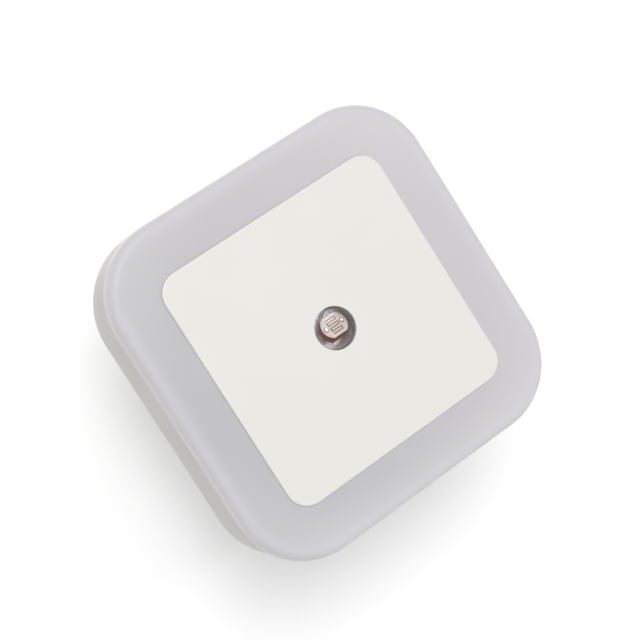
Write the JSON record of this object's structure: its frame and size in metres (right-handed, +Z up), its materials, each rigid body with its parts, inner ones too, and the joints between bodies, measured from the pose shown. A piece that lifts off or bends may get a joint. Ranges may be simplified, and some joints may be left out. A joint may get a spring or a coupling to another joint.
{
  "type": "plug-in night light",
  "caption": "Rounded square plug-in night light: frosted glow ring round a white face plate with a central light sensor window, on a two-pin round-pin plug.",
  "frame": {"origin": "centre of the plug's seating face, midway between the pins", "axes": "+Y into the wall along the pins, -Y out of the glowing face, +Z up, +X to the right seen from the front"},
  "size_m": [0.0646, 0.0534, 0.0646],
  "materials": {
    "plate_white": "smooth satin moulded white",
    "diffuser_frost": "frosted translucent",
    "housing_white": "fine spark-eroded moulded white",
    "window_clear": "clear moulded lens",
    "tube_grey": "moulded grey",
    "cell_ceramic": "ceramic body under red lacquer",
    "cell_film": "thin evaporated film",
    "cell_track": "printed sensing layer",
    "tinned_wire": "tinned",
    "board_green": "lacquered laminate",
    "led_white": "white moulded package",
    "led_phosphor": "phosphor gel",
    "capacitor_sleeve": "shrink sleeve",
    "dropper_box": "moulded box",
    "component_black": "moulded epoxy",
    "resistor_lacquer": "lacquer",
    "fuse_lacquer": "flameproof lacquer",
    "strip_brass": "bright sheet brass",
    "pin_nickel": "nickel-plated brass",
    "sleeve_black": "moulded black",
    "screw_steel": "zinc-plated steel"
  },
  "bodies": {
    "root": {"front_plate": "plate_white", "diffuser": "diffuser_frost", "back_housing": "housing_white", "sensor_window": "window_clear", "sensor_tube": "tube_grey", "photocell": "cell_ceramic", "photocell_face": "cell_film", "photocell_track": "cell_track", "photocell_leads": "tinned_wire", "circuit_board": "board_green", "led_packages": "led_white", "led_phosphors": "led_phosphor", "smoothing_capacitor": "capacitor_sleeve", "dropper_capacitor": "dropper_box", "diodes": "component_black", "resistors": "resistor_lacquer", "fuse_resistor": "fuse_lacquer", "transistor": "component_black", "component_leads": "tinned_wire", "contact_strips": "strip_brass", "left_pin": "pin_nickel", "right_pin": "pin_nickel", "left_sleeve": "sleeve_black", "right_sleeve": "sleeve_black", "case_screws": "screw_steel"}
  },
  "joints": []
}
